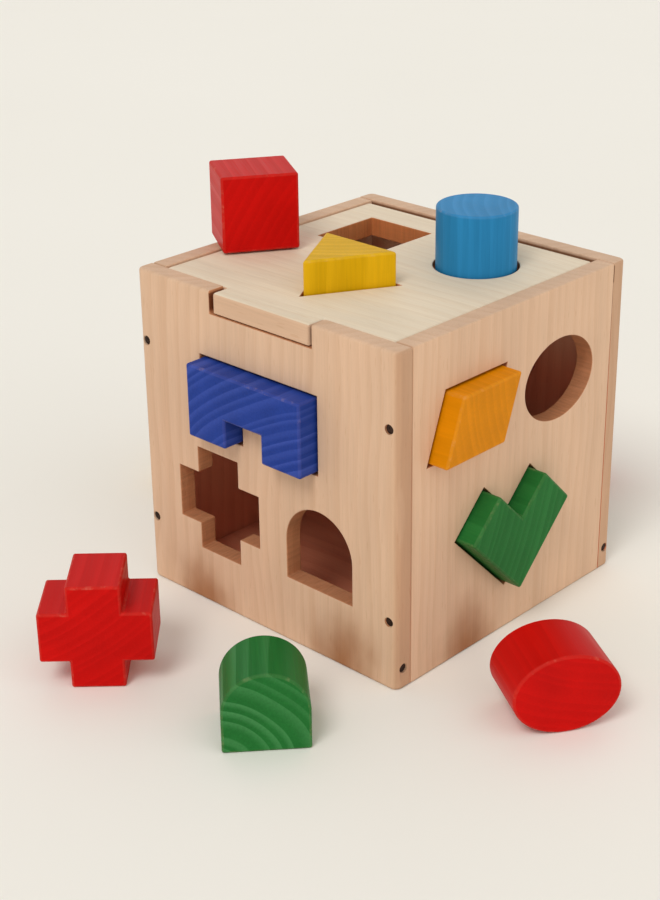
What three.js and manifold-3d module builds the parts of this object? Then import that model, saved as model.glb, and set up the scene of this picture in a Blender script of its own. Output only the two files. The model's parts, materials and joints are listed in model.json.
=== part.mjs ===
// A wooden shape sorter: a cube-shaped box with shaped holes in its walls and lid,
// and one painted block for each hole. Some blocks stand part way in their holes,
// one stands on the lid and the others stand on the floor round the box.
//
// Millimetres, +Z up. The origin is the centre of the box's underside, the front
// wall looks along -Y and the right wall along +X.

import * as THREE from 'three';
import { mergeVertices } from 'three/addons/utils/BufferGeometryUtils.js';
import Module from 'manifold-3d';

const wasm = await Module();
wasm.setup();

// Box
const BOX = 140; // outside width, depth and height
const WALL = 8; // thickness of the walls and the floor
const GLUE_GAP = 0.3; // glue line between neighbouring panels
const CORNER_ROUND = 3; // radius of the box's outer upright edges

// Lid
const LID_THICKNESS = 8.5;
const LID_BELOW_RIM = 0.5; // the lid's top lies this much below the wall tops
const LID_SIDE_GAP = 0.6;
const LID_FRONT_GAP = 0.5;
const LID_BACK_GAP = 3; // open slot that lets the lid's back edge swing
const TONGUE_WIDTH = 52;
const TONGUE_SIDE_GAP = 1.5; // saw kerf at each end of the tongue
const TONGUE_UNDER_GAP = 0.5;
const TONGUE_SETBACK = 0.3; // the tongue's end lies this much behind the front face

// Hinge pins, hidden in the lid's edges and in blind bores in the side walls
const PIN_RADIUS = 1.5;
const PIN_IN_LID = 12;
const PIN_IN_WALL = 5;
const PIN_FROM_LID_BACK = 5; // hinge axis to the lid's back edge

// Nails through the front and back walls into the side walls, and corner pins
const NAIL_LENGTH = 16;
const NAIL_RADIUS = 0.9;
const NAIL_HEAD_RADIUS = 1.9;
const NAIL_HEAD_DEPTH = 0.9;
const NAIL_TIP = 2.7; // length of the tapered point
const NAIL_SUNK = 0.4; // the head's top lies this much below the wood
const NAIL_HEIGHTS = [29.5, 109.5];
const CORNER_PIN_LENGTH = 14;
const CORNER_PIN_HEIGHT = 9;
const METAL_GAP = 0.15; // room between a pin or nail and its bore

// Blocks
const BLOCK_LENGTH = 28;
const BLOCK_PLAY = 1; // room between a block and its hole, on every side
const SIDE_PROUD = 8.5; // how far the blocks in the walls stand out
const STAND_GAP = 0.3; // under the block that stands on the rim and lid

// How finely round shapes are divided, and the sizes of the cutting tools
const ARC_STEP = THREE.MathUtils.degToRad(5);
const PIN_SEGMENTS = 16;
const OVERSHOOT = 1; // how far a cutting tool sticks out of the wood it cuts
const THROUGH = 3 * WALL; // length of a tool that cuts right through a panel
const WELD = 1e-4; // vertices closer than this are one

const HALF = BOX / 2;
const LID_TOP = BOX - LID_BELOW_RIM;
const HINGE_Y = HALF - WALL - LID_BACK_GAP - PIN_FROM_LID_BACK;

const bareWood = { roughness: 0.6, metalness: 0 };
const stain = { roughness: 0.45, metalness: 0 };
const FINISHES = {
	wall: { color: 0xdcbd98, ...bareWood },
	lid: { color: 0xe6d2b0, ...bareWood },
	steel: { color: 0x4a3a30, roughness: 0.5, metalness: 0.7 },
	red: { color: 0xc41a1a, ...stain },
	darkBlue: { color: 0x2f4fa3, ...stain },
	lightBlue: { color: 0x3584c2, ...stain },
	yellow: { color: 0xe0b01a, ...stain },
	amber: { color: 0xe3921a, ...stain },
	green: { color: 0x2f8044, ...stain },
};

// ---- outlines: lists of points, counter-clockwise, as seen from outside the box ----

const point = (x, y) => new THREE.Vector2(x, y);

function arc(x, y, radius, from, to) {
	const steps = Math.round(Math.abs(to - from) / ARC_STEP);
	return Array.from({ length: steps + 1 }, (_, i) => {
		const angle = from + (to - from) * i / steps;
		return point(x + radius * Math.cos(angle), y + radius * Math.sin(angle));
	});
}

function regular(sides, radius, firstCorner) {
	return Array.from({ length: sides }, (_, i) => {
		const angle = firstCorner + 2 * Math.PI * i / sides;
		return point(radius * Math.cos(angle), radius * Math.sin(angle));
	});
}

function rectangle(width, height) {
	const [w, h] = [width / 2, height / 2];
	return [point(-w, -h), point(w, -h), point(w, h), point(-w, h)];
}

// A beam on two legs.
function bridge(width, height, notchWidth, notchHeight) {
	const [w, h, n] = [width / 2, height / 2, notchWidth / 2];
	const step = notchHeight - h;
	return [
		point(-w, -h), point(-n, -h), point(-n, step), point(n, step),
		point(n, -h), point(w, -h), point(w, h), point(-w, h),
	];
}

// A cross with four equal arms.
function cross(size, arm) {
	const [s, a] = [size / 2, arm / 2];
	const quarter = [point(s, -a), point(s, a), point(a, a)];
	const centre = point(0, 0);
	return [0, 1, 2, 3].flatMap((turn) => quarter.map(
		(corner) => corner.clone().rotateAround(centre, turn * Math.PI / 2)));
}

// A straight-sided doorway with a half-round top.
function arch(width, height) {
	const radius = width / 2;
	const spring = height / 2 - radius;
	return [point(-radius, -height / 2), point(radius, -height / 2), ...arc(0, spring, radius, 0, Math.PI)];
}

// A full circle as a list of points.
function circle(radius) {
	return arc(0, 0, radius, 0, 2 * Math.PI).slice(1);
}

function ellipse(length, width) {
	return circle(1).map(({ x, y }) => point(x * length / 2, y * width / 2));
}

function parallelogram(width, height, slant) {
	const [w, h, s] = [width / 2, height / 2, slant / 2];
	return [point(-w - s, -h), point(w - s, -h), point(w + s, h), point(-w + s, h)];
}

function trapezoid(base, top, height) {
	const [b, t, h] = [base / 2, top / 2, height / 2];
	return [point(-b, -h), point(b, -h), point(t, h), point(-t, h)];
}

// Two equal square-ended arms that meet at a right angle, pointing down.
function chevron(side, arm) {
	const corners = [
		point(0, 0), point(side, 0), point(side, arm), point(arm, arm), point(arm, side), point(0, side),
	];
	const lift = point(0, (side + arm) * Math.SQRT1_2 / 2);
	const centre = point(0, 0);
	return corners.map((corner) => corner.rotateAround(centre, Math.PI / 4).sub(lift));
}

function rhombus(width, height) {
	return [point(0, -height / 2), point(width / 2, 0), point(0, height / 2), point(-width / 2, 0)];
}

// An equilateral triangle with its point down.
function triangle(side) {
	const half = side * Math.sqrt(3) / 4;
	return [point(0, -half), point(side / 2, half), point(-side / 2, half)];
}

// A square with one large round corner.
function quadrant(size, radius) {
	const s = size / 2;
	return [
		point(-s, -s), point(s, -s),
		...arc(s - radius, s - radius, radius, 0, Math.PI / 2),
		point(-s, s),
	];
}

// The outline moved outwards by the given distance on every side.
function grown(outline, by) {
	const last = outline.length - 1;
	const outward = (from, to) => point(to.y - from.y, from.x - to.x).normalize();
	return outline.map((corner, i) => {
		const before = outward(outline[i === 0 ? last : i - 1], corner);
		const after = outward(corner, outline[i === last ? 0 : i + 1]);
		const reach = by / (1 + before.dot(after));
		return before.add(after).multiplyScalar(reach).add(corner);
	});
}

// ---- solids ----

// A prism whose outer end is at z = 0 and which goes back by the given length.
function prism(outline, length) {
	const shape = new THREE.Shape(outline);
	const geometry = new THREE.ExtrudeGeometry(shape, { depth: length, bevelEnabled: false });
	return geometry.translate(0, 0, -length);
}

// A panel from its low corner, in the frame of its side of the box.
function panel(x, y, z, width, height, thickness) {
	const geometry = new THREE.BoxGeometry(width, height, thickness);
	return geometry.translate(x + width / 2, y + height / 2, z + thickness / 2);
}

// A rod along X, between two places on it.
function rod(radius, from, to) {
	const geometry = new THREE.CylinderGeometry(radius, radius, to - from, PIN_SEGMENTS);
	return geometry.rotateZ(Math.PI / 2).translate((from + to) / 2, 0, 0);
}

// A nail driven along -Z, its head's top at z = 0. Room makes it the nail's bore.
function nail(length, room) {
	const top = room > 0 ? NAIL_SUNK + OVERSHOOT : 0;
	const shank = NAIL_RADIUS + room;
	const head = NAIL_HEAD_RADIUS + room;
	const profile = [
		point(0, -length - room),
		point(shank, -length + NAIL_TIP - room),
		point(shank, -NAIL_HEAD_DEPTH - room),
		point(head, -NAIL_HEAD_DEPTH - room),
		point(head, top),
		point(0, top),
	];
	return new THREE.LatheGeometry(profile, PIN_SEGMENTS).rotateX(Math.PI / 2);
}

function toSolid(geometry) {
	const bare = geometry.clone();
	bare.deleteAttribute('normal');
	bare.deleteAttribute('uv');
	const merged = mergeVertices(bare, WELD);
	return new wasm.Manifold(new wasm.Mesh({
		numProp: 3,
		vertProperties: new Float32Array(merged.attributes.position.array),
		triVerts: new Uint32Array(merged.index.array),
	}));
}

function cut(blank, tools) {
	const left = tools.reduce((solid, tool) => solid.subtract(toSolid(tool)), toSolid(blank));
	const { vertProperties, triVerts } = left.getMesh();
	const geometry = new THREE.BufferGeometry();
	geometry.setAttribute('position', new THREE.BufferAttribute(vertProperties, 3));
	geometry.setIndex(new THREE.BufferAttribute(triVerts, 1));
	geometry.computeVertexNormals();
	return geometry;
}

function mesh(name, geometry, finish) {
	const made = new THREE.Mesh(geometry, new THREE.MeshStandardMaterial(FINISHES[finish]));
	made.name = name;
	return made;
}

// ---- frames ----

// An upright frame: X to the right and Y up as seen by someone facing it, and Z
// towards them. The heading is 0 when it looks along -Y and turns towards +X.
function upright(x, y, z, heading) {
	const turned = new THREE.Group();
	turned.rotation.set(Math.PI / 2, 0, THREE.MathUtils.degToRad(heading), 'ZYX');
	turned.position.set(x, y, z);
	return turned;
}

const sorter = new THREE.Group();
const sides = {
	front: upright(0, -HALF, 0, 0),
	right: upright(HALF, 0, 0, 90),
	back: upright(0, HALF, 0, 180),
	left: upright(-HALF, 0, 0, 270),
};
const lidFrame = new THREE.Group();
lidFrame.position.z = LID_TOP;
sorter.add(...Object.values(sides), lidFrame);

// ---- blocks: the outline, the hole's side and middle, and where the block is ----
// A block is "proud" of its hole, or stands with its front end's foot at x, y.

const BLOCKS = [
	{
		name: 'bridge_block', finish: 'darkBlue', outline: bridge(62, 31, 20, 12),
		side: 'front', hole: [-2.3, 95.5], proud: SIDE_PROUD,
	},
	{
		name: 'cross_block', finish: 'red', outline: cross(44, 21),
		side: 'front', hole: [-26.5, 47.5], stands: [-17.5, -144], heading: 44,
	},
	{
		name: 'arch_block', finish: 'green', outline: arch(33, 32.5),
		side: 'front', hole: [29.5, 46.3], stands: [61, -130.5], heading: 48,
	},
	{
		name: 'parallelogram_block', finish: 'amber', outline: parallelogram(34.5, 26.5, 9.5),
		side: 'right', hole: [-30, 103.5], proud: SIDE_PROUD,
	},
	{
		name: 'oval_block', finish: 'red', outline: ellipse(42.5, 32.5),
		side: 'right', hole: [27.5, 100.5], stands: [134.5, -48], heading: 57,
	},
	{
		name: 'chevron_block', finish: 'green', outline: chevron(43, 22.5),
		side: 'right', hole: [-4.5, 44.5], proud: SIDE_PROUD,
	},
	{
		name: 'rhombus_block', finish: 'red', outline: rhombus(44, 52),
		side: 'back', hole: [-8.5, 84.5], proud: SIDE_PROUD,
	},
	{
		name: 'hexagon_block', finish: 'green', outline: regular(6, 36 / Math.sqrt(3), Math.PI / 2),
		side: 'back', hole: [-32, 38.5], proud: SIDE_PROUD,
	},
	{
		name: 'trapezoid_block', finish: 'red', outline: trapezoid(34, 25, 33),
		side: 'back', hole: [21, 39], stands: [-8, 140], heading: 205,
	},
	{
		name: 'octagon_block', finish: 'red', outline: regular(8, 19 / Math.cos(Math.PI / 8), Math.PI / 8),
		side: 'left', hole: [-30, 100], stands: [-124, 66], heading: 240,
	},
	{
		name: 'quadrant_block', finish: 'yellow', outline: quadrant(35, 20),
		side: 'left', hole: [25, 98], stands: [-142, 19], heading: 255,
	},
	{
		name: 'pentagon_block', finish: 'darkBlue', outline: regular(5, 22, Math.PI / 2),
		side: 'left', hole: [-1, 41], proud: SIDE_PROUD,
	},
	{
		name: 'cylinder_block', finish: 'lightBlue', outline: circle(16.5),
		side: 'lid', hole: [28.5, 24.5], proud: 25,
	},
	{
		name: 'triangle_block', finish: 'yellow', outline: triangle(38),
		side: 'lid', hole: [2, -31.5], proud: 13.5,
	},
	{
		name: 'cube_block', finish: 'red', outline: rectangle(32, 32),
		side: 'lid', hole: [-28.5, 26.5], stands: [-46, -23], foot: BOX + STAND_GAP, heading: 57,
	},
];

function placedBlock({ name, finish, outline, side, hole, proud, stands, foot = 0, heading }) {
	const block = mesh(name, prism(outline, BLOCK_LENGTH), finish);
	if (stands) {
		const lowest = Math.min(...outline.map((corner) => corner.y));
		block.position.set(0, -lowest, 0);
		return upright(...stands, foot, heading).add(block);
	}
	block.position.set(...hole, proud);
	const frame = side === 'lid' ? lidFrame : sides[side];
	frame.add(block);
	return null;
}

function holesIn(side) {
	return BLOCKS.filter((block) => block.side === side).map((block) => {
		const hole = prism(grown(block.outline, BLOCK_PLAY), THROUGH);
		return hole.translate(...block.hole, WALL);
	});
}

// ---- box ----

const endName = (end) => (end < 0 ? 'left' : 'right');
const wallNails = [-1, 1].flatMap((end) => NAIL_HEIGHTS.map((height, i) => (
	{ place: `${endName(end)}_${['low', 'high'][i]}`, end, height, x: end * (HALF - WALL / 2) })));

// A front or back wall before it is cut, with its two outer upright edges rounded.
function wallBlank() {
	const middle = HALF - CORNER_ROUND;
	const plan = [
		point(-HALF, -WALL), point(HALF, -WALL),
		...arc(middle, -CORNER_ROUND, CORNER_ROUND, 0, Math.PI / 2),
		...arc(-middle, -CORNER_ROUND, CORNER_ROUND, Math.PI / 2, Math.PI),
	];
	return prism(plan, BOX).rotateX(Math.PI / 2);
}

// The front and back walls run the full width and cover the side walls' ends.
function outerWall(side) {
	const bores = wallNails.map(({ x, height }) => (
		nail(NAIL_LENGTH, METAL_GAP).translate(x, height, -NAIL_SUNK)));
	const cornerBores = [-1, 1].map((end) => (
		nail(CORNER_PIN_LENGTH, METAL_GAP).rotateY(end * Math.PI / 2)
			.translate(end * (HALF - NAIL_SUNK), CORNER_PIN_HEIGHT, -WALL / 2)));
	const tools = [...holesIn(side), ...bores, ...cornerBores];
	if (side === 'front') {
		const width = TONGUE_WIDTH + 2 * TONGUE_SIDE_GAP;
		const bottom = LID_TOP - LID_THICKNESS - TONGUE_UNDER_GAP;
		tools.push(panel(-width / 2, bottom, WALL - THROUGH, width, BOX - bottom + OVERSHOOT, THROUGH));
	}
	return mesh(`${side}_wall`, cut(wallBlank(), tools), 'wall');
}

// The side walls stand between them, and hold the hinge pins near the back.
function innerWall(side) {
	const length = BOX - 2 * (WALL + GLUE_GAP);
	const towardsBack = side === 'right' ? 1 : -1;
	const pinBore = rod(PIN_RADIUS + METAL_GAP, -OVERSHOOT, PIN_IN_WALL + METAL_GAP)
		.rotateY(-Math.PI / 2)
		.translate(towardsBack * HINGE_Y, LID_TOP - LID_THICKNESS / 2, -WALL);
	const nailBores = wallNails.map(({ end, height }) => (
		nail(NAIL_LENGTH, METAL_GAP).rotateY(end * Math.PI / 2)
			.translate(end * (HALF - NAIL_SUNK), height, -WALL / 2)));
	const blank = panel(-length / 2, 0, -WALL, length, BOX, WALL);
	return mesh(`${side}_wall`, cut(blank, [...holesIn(side), pinBore, ...nailBores]), 'wall');
}

function floorPanel() {
	const size = BOX - 2 * (WALL + GLUE_GAP);
	return mesh('floor_panel', panel(-size / 2, -size / 2, 0, size, size, WALL), 'wall');
}

// ---- lid ----

const lidHalfWidth = HALF - WALL - LID_SIDE_GAP;

function lid() {
	const front = -(HALF - WALL - LID_FRONT_GAP);
	const back = HALF - WALL - LID_BACK_GAP;
	const tongueEnd = -(HALF - TONGUE_SETBACK);
	const tongue = TONGUE_WIDTH / 2;
	const outline = [
		point(-lidHalfWidth, front), point(-tongue, front), point(-tongue, tongueEnd),
		point(tongue, tongueEnd), point(tongue, front), point(lidHalfWidth, front),
		point(lidHalfWidth, back), point(-lidHalfWidth, back),
	];
	const inner = lidHalfWidth - PIN_IN_LID - METAL_GAP;
	const outer = lidHalfWidth + OVERSHOOT;
	const pinBores = [[-outer, -inner], [inner, outer]].map(([from, to]) => (
		rod(PIN_RADIUS + METAL_GAP, from, to).translate(0, HINGE_Y, -LID_THICKNESS / 2)));
	return mesh('lid', cut(prism(outline, LID_THICKNESS), [...holesIn('lid'), ...pinBores]), 'lid');
}

function hingePin(name, end) {
	const inner = end * (lidHalfWidth - PIN_IN_LID);
	const outer = end * (HALF - WALL + PIN_IN_WALL);
	const pin = mesh(name, rod(PIN_RADIUS, Math.min(inner, outer), Math.max(inner, outer)), 'steel');
	pin.position.set(0, HINGE_Y, -LID_THICKNESS / 2);
	return pin;
}

// ---- assembly ----

sides.front.add(outerWall('front'));
sides.back.add(outerWall('back'));
sides.right.add(innerWall('right'));
sides.left.add(innerWall('left'));
sorter.add(floorPanel());
lidFrame.add(lid(), hingePin('hinge_pin_left', -1), hingePin('hinge_pin_right', 1));

for (const side of ['front', 'back']) {
	for (const { place, x, height } of wallNails) {
		const driven = mesh(`${side}_nail_${place}`, nail(NAIL_LENGTH, 0), 'steel');
		driven.position.set(x, height, -NAIL_SUNK);
		sides[side].add(driven);
	}
	for (const end of [-1, 1]) {
		const pin = mesh(`${side}_corner_pin_${endName(end)}`, nail(CORNER_PIN_LENGTH, 0), 'steel');
		pin.rotation.y = end * Math.PI / 2;
		pin.position.set(end * (HALF - NAIL_SUNK), CORNER_PIN_HEIGHT, -WALL / 2);
		sides[side].add(pin);
	}
}

for (const block of BLOCKS) {
	const standing = placedBlock(block);
	if (standing) {
		sorter.add(standing);
	}
}

export default sorter;
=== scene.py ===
"""A wooden shape sorter: its box and lid of bare wood, its fifteen stained blocks, its nails.

Each board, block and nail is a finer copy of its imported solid, with eased edges. A wooden piece
is patterned as if it were cut from a log, with growth rings round the log's heart and fibres
along it, so its grain runs on from one side to the next.
"""

import json
import math

import bmesh
import bpy
from mathutils import Matrix, Vector


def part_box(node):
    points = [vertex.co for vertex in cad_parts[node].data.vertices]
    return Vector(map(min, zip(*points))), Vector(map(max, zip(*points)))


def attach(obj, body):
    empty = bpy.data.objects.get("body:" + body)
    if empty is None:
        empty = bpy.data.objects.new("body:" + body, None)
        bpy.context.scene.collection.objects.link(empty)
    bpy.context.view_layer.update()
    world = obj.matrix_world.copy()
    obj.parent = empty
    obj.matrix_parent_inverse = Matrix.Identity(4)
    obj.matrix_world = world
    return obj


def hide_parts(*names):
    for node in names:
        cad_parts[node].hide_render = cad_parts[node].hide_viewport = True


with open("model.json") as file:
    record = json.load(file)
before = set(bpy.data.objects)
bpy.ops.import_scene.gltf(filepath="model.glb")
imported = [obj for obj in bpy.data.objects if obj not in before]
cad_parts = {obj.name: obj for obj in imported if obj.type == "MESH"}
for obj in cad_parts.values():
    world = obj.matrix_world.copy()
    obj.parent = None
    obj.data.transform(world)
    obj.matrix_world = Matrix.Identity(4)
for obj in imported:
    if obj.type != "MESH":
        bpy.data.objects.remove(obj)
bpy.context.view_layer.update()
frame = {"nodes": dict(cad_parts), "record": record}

nodes = frame["nodes"]
body_of = {
    node: body
    for body, members in frame["record"]["behaviour"]["bodies"].items()
    for node in members
}
slot_of = {part["node"]: part["material_slot"] for part in frame["record"]["subparts"]}

MM = 0.001
X, Y, Z = Vector((1, 0, 0)), Vector((0, 1, 0)), Vector((0, 0, 1))
SHARP = math.radians(25)  # edges that turn by more than this are rounded

RIM_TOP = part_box("front_wall")[1].z
BOX_MIDDLE = sum(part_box("front_wall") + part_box("back_wall"), Vector()) / 4
METAL_BOXES = [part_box(node) for node in nodes if "nail" in node or "pin" in node]

# Sizes, in millimetres
BOARD_EDGE = 1.3  # rounding of the boards' edges
BLOCK_EDGE = 1.0  # rounding of the blocks' edges
BLOCK_LENGTH = 28
BORE_REACH = 2.4  # nothing is rounded this near to the middle line of a nail or a pin
BORE_MARGIN = 1.5  # and that holds this far past its ends
EDGE_ZONE = 4  # faces this near to a wall's ends are its edges, and not the inside of a hole
LID_EDGE_ZONE = 9  # the same for the lid, whose tongue sticks out
NAIL_SHANK = 0.9  # radius of a nail below its head
NAIL_TIP = 2.7  # length of a nail's point
PIN_EASE = 0.3  # rounding of a hinge pin's ends
BLOCK_WANDER = 5  # how far the rings of a block's log stray from true circles
SLOT_DEPTH = (0.6, 1.5, 7.5, 9)  # below the rim: where the painted shade in a slot begins, is full, wanes and ends
FOOT_SHADE_REACH = 25  # from the middle of a spot of painted shade to where it has faded away
FOOT_SHADE_RAGGED = 16  # how far its outline strays from round

# Shares
RIM_SHARE = 0.45  # how much of BOARD_EDGE the edges of holes and of inner sides have
FOOT_SHADE_STRETCH = 1.25  # how far a spot of painted shade reaches upwards for each millimetre sideways
INSIDE_SHADE_DEPTH = (0.92, 0.56)  # of the rim's height: where the painted shade inside the box starts to redden and darken the wood, and is full

# The picture's camera: how it looks at the middle of the box
AZIMUTH, ELEVATION = 42, 24  # degrees
CAMERA_DISTANCE = 728 * MM
LENS = 69.4
SHIFT = (-0.0587, -0.032)  # sets the group of box and blocks in the middle of the frame

LAMP_DISTANCE = 1.2  # metres, and a sun shines alike from any distance

# Colours as they show, 0 to 255
WALL = ((221, 184, 153), (198, 153, 117))  # spring wood and autumn wood
LID = ((226, 209, 184), (212, 186, 154))
# Painted shade deep inside the box: redder, darker spring and autumn wood
INSIDE_SHADE = ((220, 136, 102), (190, 102, 72))
STAINS = {
    "red_paint": (206, 12, 8),
    "dark_blue_paint": (38, 66, 154),
    "light_blue_paint": (44, 135, 190),
    "yellow_paint": (222, 172, 8),
    "amber_paint": (226, 140, 2),
    "green_paint": (38, 114, 50),
}

# Spots of painted shade at the foot of the walls: the x and y of their middles, in millimetres
FOOT_SHADE_SPOTS = [(-38, -70), (42, -70), (70, -28), (28, 70), (-44, 70), (-70, 36)]

# How far a saw's heat takes the wood's red, green and blue down, for the scorches, and how far painted
# shade takes them down, for the rest
WALL_SCORCH = (0.77, 0.49, 0.34)
LID_SCORCH = (0.74, 0.31, 0.13)
# Painted shade: in the slots beside the lid, on the walls' upright ends and rounded corners, and at the
# foot of the walls
SLOT_SHADE = (0.36, 0.25, 0.18)
EDGE_SHADE = (0.8, 0.73, 0.68)
FOOT_SHADE = (0.52, 0.33, 0.2)


# ---- node trees, written as formulas ----

def shown(red, green, blue):
    """A colour given as it shows, for a colour socket."""
    parts = [c / 255 for c in (red, green, blue)]
    return [c / 12.92 if c <= 0.04045 else ((c + 0.055) / 1.055) ** 2.4 for c in parts] + [1]


class Formula:
    """Adds nodes to a tree and links them."""

    def __init__(self, tree):
        self.tree = tree

    def node(self, kind, **settings):
        made = self.tree.nodes.new(kind)
        for name, value in settings.items():
            setattr(made, name, value)
        return made

    def feed(self, socket, value):
        if isinstance(value, bpy.types.NodeSocket):
            self.tree.links.new(value, socket)
        else:
            socket.default_value = value

    def maths(self, operation, *values):
        made = self.node("ShaderNodeMath", operation=operation)
        for socket, value in zip(made.inputs, values):
            self.feed(socket, value)
        return made.outputs["Value"]

    def vector(self, operation, *values):
        made = self.node("ShaderNodeVectorMath", operation=operation)
        for socket, value in zip(made.inputs, values):
            self.feed(socket, value)
        return made.outputs["Value" if operation in ("DOT_PRODUCT", "LENGTH") else "Vector"]

    def join(self, x, y, z):
        made = self.node("ShaderNodeCombineXYZ")
        for socket, value in zip(made.inputs, (x, y, z)):
            self.feed(socket, value)
        return made.outputs["Vector"]

    def stretched(self, place, x, y, z):
        return self.vector("MULTIPLY", place, (x, y, z))

    def in_millimetres(self, place):
        return self.stretched(place, 1 / MM, 1 / MM, 1 / MM)

    def noise(self, place, detail=2, roughness=0.5, output="Fac"):
        made = self.node("ShaderNodeTexNoise")
        self.feed(made.inputs["Vector"], place)
        self.feed(made.inputs["Scale"], 1)
        self.feed(made.inputs["Detail"], detail)
        self.feed(made.inputs["Roughness"], roughness)
        return made.outputs[output]

    def step(self, value, low, high, start=0, end=1):
        """Goes smoothly from start to end as the value goes from low to high."""
        made = self.node("ShaderNodeMapRange", interpolation_type="SMOOTHSTEP")
        for socket, given in zip(made.inputs, (value, low, high, start, end)):
            self.feed(socket, given)
        return made.outputs["Result"]

    def swing(self, value, reach):
        """Goes from -reach / 2 to reach / 2 as the value goes from 0 to 1."""
        return self.maths("MULTIPLY", self.maths("SUBTRACT", value, 0.5), reach)

    def total(self, *values):
        result = values[0]
        for value in values[1:]:
            result = self.maths("ADD", result, value)
        return result

    def blend(self, factor, first, second):
        made = self.node("ShaderNodeMix", data_type="RGBA")
        for name, value in (("Factor_Float", factor), ("A_Color", first), ("B_Color", second)):
            socket = next(s for s in made.inputs if s.identifier == name)
            self.feed(socket, value)
        return next(s for s in made.outputs if s.identifier == "Result_Color")

    def lit(self, colour, brightness):
        """The colour times a brightness."""
        return self.vector("MULTIPLY", colour, self.join(brightness, brightness, brightness))


def wood_pattern():
    """How wood varies inside a log, as a group of nodes.

    It takes a point of the log's heart, the directions along and across the log, the width of a
    ring and how far the rings wander. Lengths are in millimetres. It gives the place in the log's
    own directions, and the other outputs go from 0 to 1.
    """
    tree = bpy.data.node_groups.new("wood_pattern", "ShaderNodeTree")
    sockets = {
        "INPUT": {"Vector": ("Heart", "Along", "Across"), "Float": ("Ring", "Wander")},
        "OUTPUT": {"Float": ("Rings", "Fibres", "Figure", "Flecks", "End"), "Vector": ("Place",)},
    }
    for in_out, kinds in sockets.items():
        for kind, names in kinds.items():
            for name in names:
                tree.interface.new_socket(name, in_out=in_out, socket_type="NodeSocket" + kind)
    f = Formula(tree)
    given = f.node("NodeGroupInput").outputs
    result = f.node("NodeGroupOutput").inputs
    source = f.node("ShaderNodeTexCoord").outputs

    from_heart = f.vector("SUBTRACT", f.in_millimetres(source["Object"]), given["Heart"])
    third = f.vector("CROSS_PRODUCT", given["Along"], given["Across"])
    axes = (given["Along"], given["Across"], third)
    place = f.join(*(f.vector("DOT_PRODUCT", from_heart, axis) for axis in axes))
    f.feed(result["Place"], place)

    # Rings round a heart that isn't quite straight, of uneven widths
    drift = f.noise(f.stretched(place, 0.011, 0.02, 0.02), detail=1, output="Color")
    reach = f.join(0, given["Wander"], given["Wander"])
    astray = f.vector("MULTIPLY", f.vector("SUBTRACT", drift, (0.5, 0.5, 0.5)), reach)
    wandered = f.vector("ADD", place, astray)
    radius = f.vector("LENGTH", f.stretched(wandered, 0, 1, 1))
    count = f.maths("DIVIDE", radius, given["Ring"])
    uneven = f.noise(f.join(f.maths("MULTIPLY", count, 0.6), 0, 0), detail=0)
    years = f.maths("ADD", count, f.maths("MULTIPLY", uneven, 1.6))

    # Each ring darkens towards its autumn and ends at once, some years more than others
    season = f.maths("FRACT", years)
    autumn = f.maths("MULTIPLY", f.step(season, 0.25, 0.88), f.step(season, 0.92, 1.0, 1, 0))
    year = f.noise(f.join(f.maths("MULTIPLY", f.maths("FLOOR", years), 3.7), 0, 0), detail=0)
    f.feed(result["Rings"], f.maths("MULTIPLY", autumn, f.step(year, 0.3, 0.7, 0.45, 1)))

    # Fine fibres, broad figure and short dark flecks, all drawn out along the log
    fibres = f.noise(f.stretched(place, 0.045, 1.2, 1.2), detail=3, roughness=0.62)
    f.feed(result["Fibres"], fibres)
    f.feed(result["Figure"], f.noise(f.stretched(place, 0.018, 0.06, 0.06), detail=1))
    flecks = f.noise(f.stretched(place, 0.13, 1.0, 1.0), detail=1)
    f.feed(result["Flecks"], f.step(flecks, 0.66, 0.75))

    # How squarely a face is cut across the log
    f.feed(result["End"], f.maths("ABSOLUTE", f.vector("DOT_PRODUCT", source["Normal"], given["Along"])))
    return tree


WOOD = wood_pattern()


def new_material(name):
    """A node material: its formula and the inputs of its shader."""
    material = bpy.data.materials.new(name)
    material.use_nodes = True
    f = Formula(material.node_tree)
    shader = material.node_tree.nodes["Principled BSDF"]
    return material, f, shader.inputs


def cut_from_log(heart, along, across, ring, wander):
    """A piece's grain: where its log's heart is, how the log lies, and what its rings are like."""
    return {"Heart": Vector(heart), "Along": along, "Across": across, "Ring": ring, "Wander": wander}


def log(f, grain):
    """The outputs of the wood pattern for one piece's grain."""
    group = f.node("ShaderNodeGroup", node_tree=WOOD)
    for name, value in grain.items():
        f.feed(group.inputs[name], value)
    return group.outputs


def bump(f, shader, height, depth):
    """Relief of the given depth, in millimetres, where the height goes from 0 to 1."""
    made = f.node("ShaderNodeBump")
    f.feed(made.inputs["Distance"], depth * MM)
    f.feed(made.inputs["Height"], height)
    f.feed(shader["Normal"], made.outputs["Normal"])


def painted_shade(f, colour, darkening, share):
    """The colour taken down by painted shade, as far as the share from 0 to 1 says."""
    return f.blend(share, colour, f.vector("MULTIPLY", colour, darkening))


def foot_shade_share(f, object_place):
    """How far the foot of the walls takes painted shade, from 0 to 1: ragged spots that fade upwards."""
    place = f.in_millimetres(object_place)
    noise = f.noise(f.stretched(place, 0.08, 0.08, 0.05), detail=2, output="Color")
    off_centre = f.vector("SUBTRACT", noise, (0.5, 0.5, 0.5))
    ragged = f.stretched(off_centre, FOOT_SHADE_RAGGED, FOOT_SHADE_RAGGED, FOOT_SHADE_RAGGED)
    moved = f.vector("ADD", place, ragged)
    share = 0
    for x, y in FOOT_SHADE_SPOTS:
        away = f.stretched(f.vector("SUBTRACT", moved, (x, y, 0)), 1, 1, 1 / FOOT_SHADE_STRETCH)
        share = f.maths("MAXIMUM", share, f.step(f.vector("LENGTH", away), 0, FOOT_SHADE_REACH, 1, 0))
    return share


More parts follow.
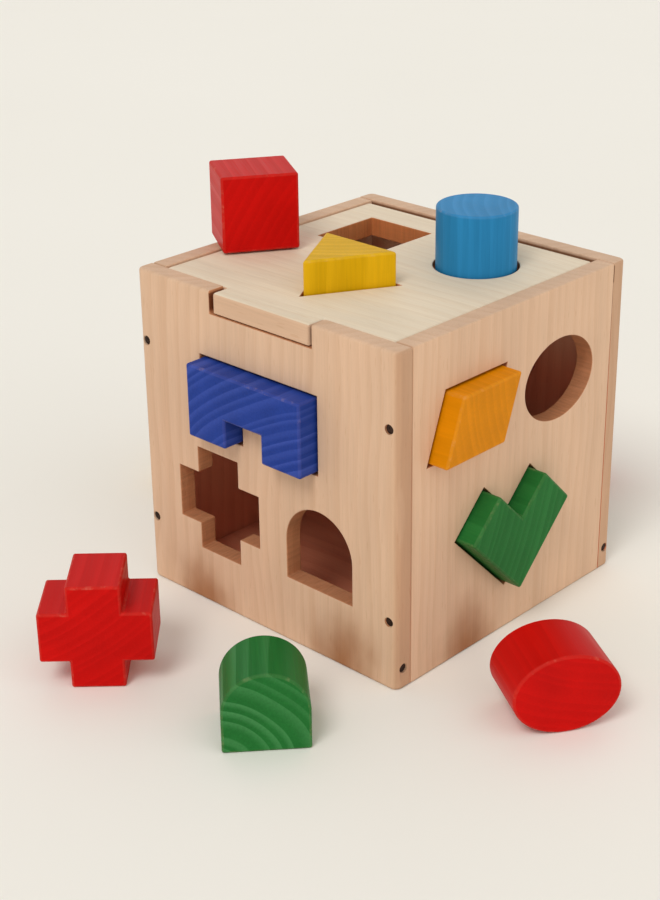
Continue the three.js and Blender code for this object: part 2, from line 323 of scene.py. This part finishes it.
def in_slot(f, up):
    """How far a height lies in the slots beside the lid, from 0 to 1: the share of their painted shade.
    """
    begins, full, wanes, ends = (RIM_TOP - depth * MM for depth in SLOT_DEPTH)
    return f.maths("MULTIPLY", f.step(up, full, begins, 1, 0), f.step(up, ends, wanes))


def bare_wood(name, grain, colours, rings, scorch=None, inside=False, outside=False, slot=False):
    """Sanded bare wood.

    It can be scorched by a saw. It takes painted shade: redder and darker low down for the inside of the
    box, in ragged spots at the foot and darker at its upright edges for the outside, and where it lines
    a slot beside the lid.
    """
    material, f, shader = new_material(name)
    wood = log(f, grain)
    source = f.node("ShaderNodeTexCoord").outputs
    up = f.vector("DOT_PRODUCT", source["Object"], Z)
    light, dark = (shown(*colour) for colour in colours)
    if inside:
        # painted shade: the inside of the box is redder and darker low down
        starts, full = (share * RIM_TOP for share in INSIDE_SHADE_DEPTH)
        deep_in_shade = f.step(up, full, starts, 1, 0)
        light, dark = (
            f.blend(deep_in_shade, usual, shown(*red)) for usual, red in zip((light, dark), INSIDE_SHADE)
        )
    colour = f.blend(f.maths("MULTIPLY", wood["Rings"], rings), light, dark)
    colour = f.blend(f.maths("MULTIPLY", wood["Flecks"], 0.3), colour, dark)
    brightness = f.total(
        1.02,
        f.swing(wood["Fibres"], 0.2),
        f.swing(wood["Figure"], 0.22),
        f.maths("MULTIPLY", wood["End"], -0.12),
    )
    colour = f.lit(colour, brightness)
    height = f.total(
        f.maths("MULTIPLY", wood["Fibres"], 0.8),
        f.maths("MULTIPLY", wood["Rings"], 0.2),
    )
    depth = 0.10
    if scorch:
        chatter = f.noise(f.stretched(wood["Place"], 0.9, 0.9, 0.05), detail=2)
        scorched = f.vector("MULTIPLY", colour, scorch)
        colour = f.lit(scorched, f.total(1, f.swing(chatter, 0.5)))
        height = f.total(height, chatter)
        depth = 0.16
    if slot:
        # painted shade where the wood lines a slot beside the lid
        colour = painted_shade(f, colour, SLOT_SHADE, in_slot(f, up))
    if outside:
        # painted shade on the faces that turn sideways, at the upright ends and rounded corners
        sideways = f.maths("ABSOLUTE", f.vector("DOT_PRODUCT", source["Normal"], grain["Across"]))
        colour = painted_shade(f, colour, EDGE_SHADE, f.step(sideways, 0.2, 0.8))
        # painted shade in ragged spots at the foot of the walls
        colour = painted_shade(f, colour, FOOT_SHADE, foot_shade_share(f, source["Object"]))
    f.feed(shader["Base Color"], colour)
    f.feed(shader["Roughness"], f.total(0.62, f.swing(wood["Fibres"], 0.2)))
    f.feed(shader["Specular IOR Level"], 0.3)
    bump(f, shader, height, depth)
    return material


def stained_wood(name, grain, stain, contrast, worn=False):
    """Stained wood: autumn wood takes less stain than spring wood. Worn wood is a little rubbed."""
    material, f, shader = new_material(name)
    wood = log(f, grain)
    full = shown(*stain)
    deep = [0.78 * c for c in full[:3]] + [1]
    thin = [1.25 * c + 0.07 * contrast ** 2 for c in full[:3]] + [1]
    colour = f.blend(f.maths("MULTIPLY", wood["Rings"], contrast), deep, thin)
    colour = f.blend(f.maths("MULTIPLY", wood["Figure"], 0.5), colour, full)
    brightness = f.total(
        1.05,
        f.swing(wood["Fibres"], 0.5 * contrast + 0.12),
        f.swing(wood["Figure"], 0.2),
    )
    colour = f.lit(colour, brightness)
    if worn:
        rubbed = f.noise(f.stretched(wood["Place"], 0.25, 0.3, 0.3), detail=3, roughness=0.6)
        pale = [0.75 * a + 0.25 * b for a, b in zip(full, shown(*WALL[0]))]
        colour = f.blend(f.step(rubbed, 0.52, 0.75, 0.1, 0.6), colour, pale)
    f.feed(shader["Base Color"], colour)
    roughness = f.total(
        0.42,
        f.swing(wood["Fibres"], 0.22),
        f.maths("MULTIPLY", wood["Rings"], -0.06),
    )
    f.feed(shader["Roughness"], roughness)
    f.feed(shader["Specular IOR Level"], 0.07)
    height = f.total(
        f.maths("MULTIPLY", wood["Fibres"], 0.6),
        f.maths("MULTIPLY", wood["Rings"], 0.5 * contrast),
    )
    bump(f, shader, height, 0.10)
    return material


def steel(name, tint, roughness):
    """Dull steel with a film of dirt."""
    material, f, shader = new_material(name)
    place = f.stretched(f.node("ShaderNodeTexCoord").outputs["Object"], 900, 900, 900)
    darkening = f.noise(place, detail=3, roughness=0.6)
    colour = f.blend(f.step(darkening, 0.4, 0.65), shown(*tint), shown(*(0.55 * c for c in tint)))
    f.feed(shader["Base Color"], colour)
    f.feed(shader["Metallic"], 0.75)
    f.feed(shader["Roughness"], f.total(roughness, f.swing(darkening, 0.3)))
    bump(f, shader, darkening, 0.03)
    return material


def floor_material():
    """A matt, pale floor that is hardly uneven."""
    material, f, shader = new_material("pale_floor")
    place = f.node("ShaderNodeTexCoord").outputs["Object"]
    mottled = f.noise(f.stretched(place, 3, 3, 3))
    colour = f.blend(mottled, shown(243, 239, 230), shown(246, 242, 234))
    f.feed(shader["Base Color"], colour)
    f.feed(shader["Roughness"], 0.85)
    f.feed(shader["Specular IOR Level"], 0.1)
    return material


# ---- meshes ----

def longest_side(low, high):
    """Which axis a box is longest along: 0, 1 or 2."""
    return max(range(3), key=lambda i: high[i] - low[i])


def beside_metal(point):
    """Whether a point lies in the bore of a nail or a pin."""
    for low, high in METAL_BOXES:
        long = longest_side(low, high)
        aside = point - (low + high) / 2
        aside[long] = 0
        margin = BORE_MARGIN * MM
        in_reach = low[long] - margin < point[long] < high[long] + margin
        if in_reach and aside.length < BORE_REACH * MM:
            return True
    return False


def welded(node):
    """The node's mesh with its vertices joined, and as few faces on each flat side as can be."""
    shape = bmesh.new()
    shape.from_mesh(nodes[node].data)
    bmesh.ops.remove_doubles(shape, verts=shape.verts, dist=0.01 * MM)
    bmesh.ops.dissolve_limit(shape, angle_limit=math.radians(1), verts=shape.verts, edges=shape.edges)
    return shape


def finish_piece(name, shape, materials, node):
    """Makes the piece that stands for a node, and lets it ride on the node's body."""
    data = bpy.data.meshes.new(name)
    shape.to_mesh(data)
    shape.free()
    data.shade_smooth()
    for material in materials:
        data.materials.append(material)
    piece = bpy.data.objects.new(name, data)
    bpy.context.scene.collection.objects.link(piece)
    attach(piece, body_of[node])
    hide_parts(node)
    return piece


def round_edges(piece, width, material):
    """Rounds the marked edges with a strip of that material slot, or of the faces' own for -1."""
    bevel = piece.modifiers.new("eased edges", "BEVEL")
    bevel.limit_method = "WEIGHT"
    bevel.width = width * MM
    bevel.segments = 4
    bevel.material = material
    shading = piece.modifiers.new("shading", "WEIGHTED_NORMAL")
    shading.weight = 50


def mark_edges(shape):
    """Marks the sharp edges outside the bores as the ones to round. Gives the layer of their weights."""
    weight = shape.edges.layers.float.new("bevel_weight_edge")
    for edge in shape.edges:
        middle = (edge.verts[0].co + edge.verts[1].co) / 2
        if edge.is_manifold and edge.calc_face_angle() > SHARP and not beside_metal(middle):
            edge[weight] = 1
    return weight


def board(node, grain, rings, slot=None):
    """A wall or the floor of the box. The slot is which of its faces line a slot beside the lid."""
    sawn = bare_wood(node + "_sawn", grain, WALL, rings, scorch=WALL_SCORCH, slot=slot == "sawn")
    inside = bare_wood(node + "_inside", grain, WALL, rings, inside=True, slot=slot == "inside")
    outside = bare_wood(node + "_wood", grain, WALL, rings, outside=True)
    return panel(node, EDGE_ZONE, [outside, sawn, inside, outside])


def lid(grain, rings):
    """The lid. Its edges are as pink as the walls."""
    wood = bare_wood("lid_wood", grain, LID, rings)
    sawn = bare_wood("lid_sawn", grain, LID, rings, scorch=LID_SCORCH)
    edge = bare_wood("lid_edge", grain, WALL, rings)
    return panel("lid", LID_EDGE_ZONE, [wood, sawn, wood, edge])


def panel(node, edge_zone, materials):
    """A panel of wood. Its materials are for its outer side, its holes, its inner side and its edges."""
    shape = welded(node)
    weight = mark_edges(shape)
    low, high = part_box(node)
    thin = min(range(3), key=lambda i: high[i] - low[i])
    inward = math.copysign(1, BOX_MIDDLE[thin] - low[thin])
    hole, inner_side, edge_of_panel = 1, 2, 3
    for face in shape.faces:
        middle = face.calc_center_median()
        room = min(min(middle[i] - low[i], high[i] - middle[i]) for i in range(3) if i != thin)
        if abs(face.normal[thin]) < 0.5:
            face.material_index = hole if room > edge_zone * MM else edge_of_panel
        elif face.normal[thin] * inward > 0:
            face.material_index = inner_side
        if face.material_index in (hole, inner_side):
            for edge in face.edges:
                if edge[weight] == 1:
                    edge[weight] = RIM_SHARE
    piece = finish_piece(node + "_board", shape, materials, node)
    round_edges(piece, BOARD_EDGE, -1)
    return piece


def length_axis(shape):
    """The direction in which a block's outline was extruded: its corners lie in two planes across it."""
    for face in shape.faces:
        reach = [face.normal.dot(vertex.co) for vertex in shape.verts]
        low, high = min(reach), max(reach)
        two_planes = all(min(r - low, high - r) < 0.05 * MM for r in reach)
        if two_planes and abs(high - low - BLOCK_LENGTH * MM) < 0.1 * MM:
            return face.normal.copy()
    raise ValueError("this block is no prism of the blocks' length")


def block(name, heart, ring, contrast):
    """A stained block. The heart of its log is so far to the right of its middle and above it."""
    node = name + "_block"
    shape = welded(node)
    mark_edges(shape)
    along = length_axis(shape)
    if along.dot(Vector((1, -1, 1))) < 0:
        along = -along
    across = Z.cross(along).normalized() if abs(along.z) < 0.5 else X
    upward = along.cross(across)
    low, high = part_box(node)
    centre = (low + high) / 2 / MM
    heart_place = centre + heart[0] * across + heart[1] * upward
    grain = cut_from_log(heart_place, along, across, ring, BLOCK_WANDER)
    stain = STAINS[slot_of[node]]
    materials = [
        stained_wood(node + "_stain", grain, stain, contrast),
        stained_wood(node + "_worn", grain, stain, contrast, worn=True),
    ]
    piece = finish_piece(name + "_stained", shape, materials, node)
    round_edges(piece, BLOCK_EDGE, 1)
    return piece


def turned(node, profile, material):
    """A nail or a pin: a profile of (radius, depth below its outer end), turned round its middle."""
    low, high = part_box(node)
    long = longest_side(low, high)
    outer = max(low[long], high[long], key=abs)
    direction = Vector([math.copysign(1, outer) if i == long else 0 for i in range(3)])
    end = (low + high) / 2
    end[long] = outer
    shape = bmesh.new()
    points = [shape.verts.new((radius * MM, 0, -depth * MM)) for radius, depth in profile]
    line = [shape.edges.new(pair) for pair in zip(points, points[1:])]
    bmesh.ops.spin(shape, geom=points + line, cent=(0, 0, 0), axis=Z, angle=2 * math.pi, steps=32)
    bmesh.ops.remove_doubles(shape, verts=shape.verts, dist=0.001 * MM)
    bmesh.ops.recalc_face_normals(shape, faces=shape.faces)
    turn = Z.rotation_difference(direction).to_matrix().to_4x4()
    bmesh.ops.transform(shape, matrix=Matrix.Translation(end) @ turn, verts=shape.verts)
    piece = finish_piece(node + "_turned", shape, [material], node)
    piece.modifiers.new("shading", "WEIGHTED_NORMAL").weight = 50
    return piece


def nail_profile(node):
    """A slightly domed head, a straight shank and a point."""
    low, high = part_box(node)
    sides = sorted(high - low)
    head, length = sides[0] / 2 / MM, sides[2] / MM
    return [
        (0, 0), (0.45 * head, 0.02), (0.8 * head, 0.1), (0.95 * head, 0.2), (head, 0.35),
        (head, 0.75), (0.94 * head, 0.9), (NAIL_SHANK, 0.95),
        (NAIL_SHANK, length - NAIL_TIP), (0.25, length - 0.2), (0, length),
    ]


def pin_profile(node):
    """A straight pin with eased ends."""
    low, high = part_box(node)
    sides = sorted(high - low)
    radius, length = sides[0] / 2 / MM, sides[2] / MM
    return [
        (0, 0), (radius - PIN_EASE, 0), (radius, PIN_EASE),
        (radius, length - PIN_EASE), (radius - PIN_EASE, length), (0, length),
    ]


# ---- the pieces ----

board("front_wall", cut_from_log((-142, 30, 0), Z, X, 5.2, 16), 0.28, slot="sawn")
board("back_wall", cut_from_log((130, -20, 0), Z, X, 5.6, 16), 0.28, slot="inside")
board("right_wall", cut_from_log((10, 214, 0), Z, Y, 5.4, 14), 0.25)
board("left_wall", cut_from_log((-20, -170, 0), Z, Y, 5.8, 14), 0.25)
board("floor_panel", cut_from_log((0, 40, -90), X, Y, 5, 14), 0.34)
lid(cut_from_log((0, -160, 90), X, Y, 6, 18), 0.28)

# A block's heart, the width of its rings in millimetres, and how much they stand out
block("bridge", (70, -110), 4.2, 0.7)
block("cross", (-60, 90), 3.8, 0.26)
block("arch", (-19, -23), 5.0, 0.8)
block("parallelogram", (140, 30), 4.0, 0.24)
block("oval", (40, 120), 4.0, 0.22)
block("chevron", (-90, 40), 4.4, 0.4)
block("rhombus", (20, -60), 4.0, 0.45)
block("hexagon", (10, -30), 3.8, 0.5)
block("trapezoid", (-25, -35), 3.6, 0.45)
block("octagon", (5, 30), 4.0, 0.4)
block("quadrant", (60, -40), 4.0, 0.4)
block("pentagon", (-70, -50), 4.0, 0.5)
block("cylinder", (70, 60), 4.4, 0.3)
block("triangle", (-60, 70), 4.2, 0.4)
block("cube", (80, -50), 4.0, 0.22)

nail_metal = steel("nail_steel", (66, 45, 36), 0.6)
pin_metal = steel("pin_steel", (168, 164, 160), 0.35)
for node in nodes:
    if "nail" in node or "corner_pin" in node:
        turned(node, nail_profile(node), nail_metal)
    elif "hinge_pin" in node:
        turned(node, pin_profile(node), pin_metal)


# ---- floor, light and camera ----

def studio_floor():
    """A level floor under the box."""
    half = 6  # metres
    data = bpy.data.meshes.new("floor")
    corners = [(-half, -half, 0), (half, -half, 0), (half, half, 0), (-half, half, 0)]
    data.from_pydata(corners, [], [(0, 1, 2, 3)])
    data.materials.append(floor_material())
    floor = bpy.data.objects.new("floor", data)
    bpy.context.scene.collection.objects.link(floor)


def look_from(azimuth, elevation, distance, aim):
    """The place in that direction from the aim, in degrees, and the turn that looks back at it."""
    azimuth, elevation = math.radians(azimuth), math.radians(elevation)
    away = Vector((
        math.sin(azimuth) * math.cos(elevation),
        -math.cos(azimuth) * math.cos(elevation),
        math.sin(elevation),
    ))
    return aim + distance * away, (-away).to_track_quat("-Z", "Y").to_euler()


def soft_sun(name, azimuth, elevation, spread, strength):
    """A sun in that direction, as wide as the spread. All three angles are in degrees."""
    light = bpy.data.lights.new(name, "SUN")
    light.angle = math.radians(spread)
    light.energy = strength
    lamp = bpy.data.objects.new(name, light)
    lamp.location, lamp.rotation_euler = look_from(azimuth, elevation, LAMP_DISTANCE, BOX_MIDDLE)
    bpy.context.scene.collection.objects.link(lamp)


def studio_world():
    """Plain light from all round: as pale as the floor low down, and dimmer overhead."""
    world = bpy.data.worlds.new("studio")
    world.use_nodes = True
    f = Formula(world.node_tree)
    up = f.vector("DOT_PRODUCT", f.node("ShaderNodeTexCoord").outputs["Generated"], Z)
    background = world.node_tree.nodes["Background"].inputs
    overhead = f.step(up, 0.05, 0.6)
    f.feed(background["Color"], f.blend(overhead, shown(240, 236, 227), shown(185, 185, 183)))
    bpy.context.scene.world = world


studio_floor()
soft_sun("key", 14, 52, 24, 1.15)
soft_sun("fill", 95, 30, 60, 0.42)
soft_sun("back", 220, 45, 60, 0.3)
studio_world()
bpy.context.scene.view_settings.view_transform = "Standard"

camera = bpy.data.objects.new("camera", bpy.data.cameras.new("camera"))
camera.location, camera.rotation_euler = look_from(AZIMUTH, ELEVATION, CAMERA_DISTANCE, BOX_MIDDLE)
camera.data.lens = LENS
camera.data.sensor_width = 36
camera.data.shift_x, camera.data.shift_y = SHIFT
camera.data.clip_start = 0.05
bpy.context.scene.collection.objects.link(camera)
bpy.context.scene.camera = camera
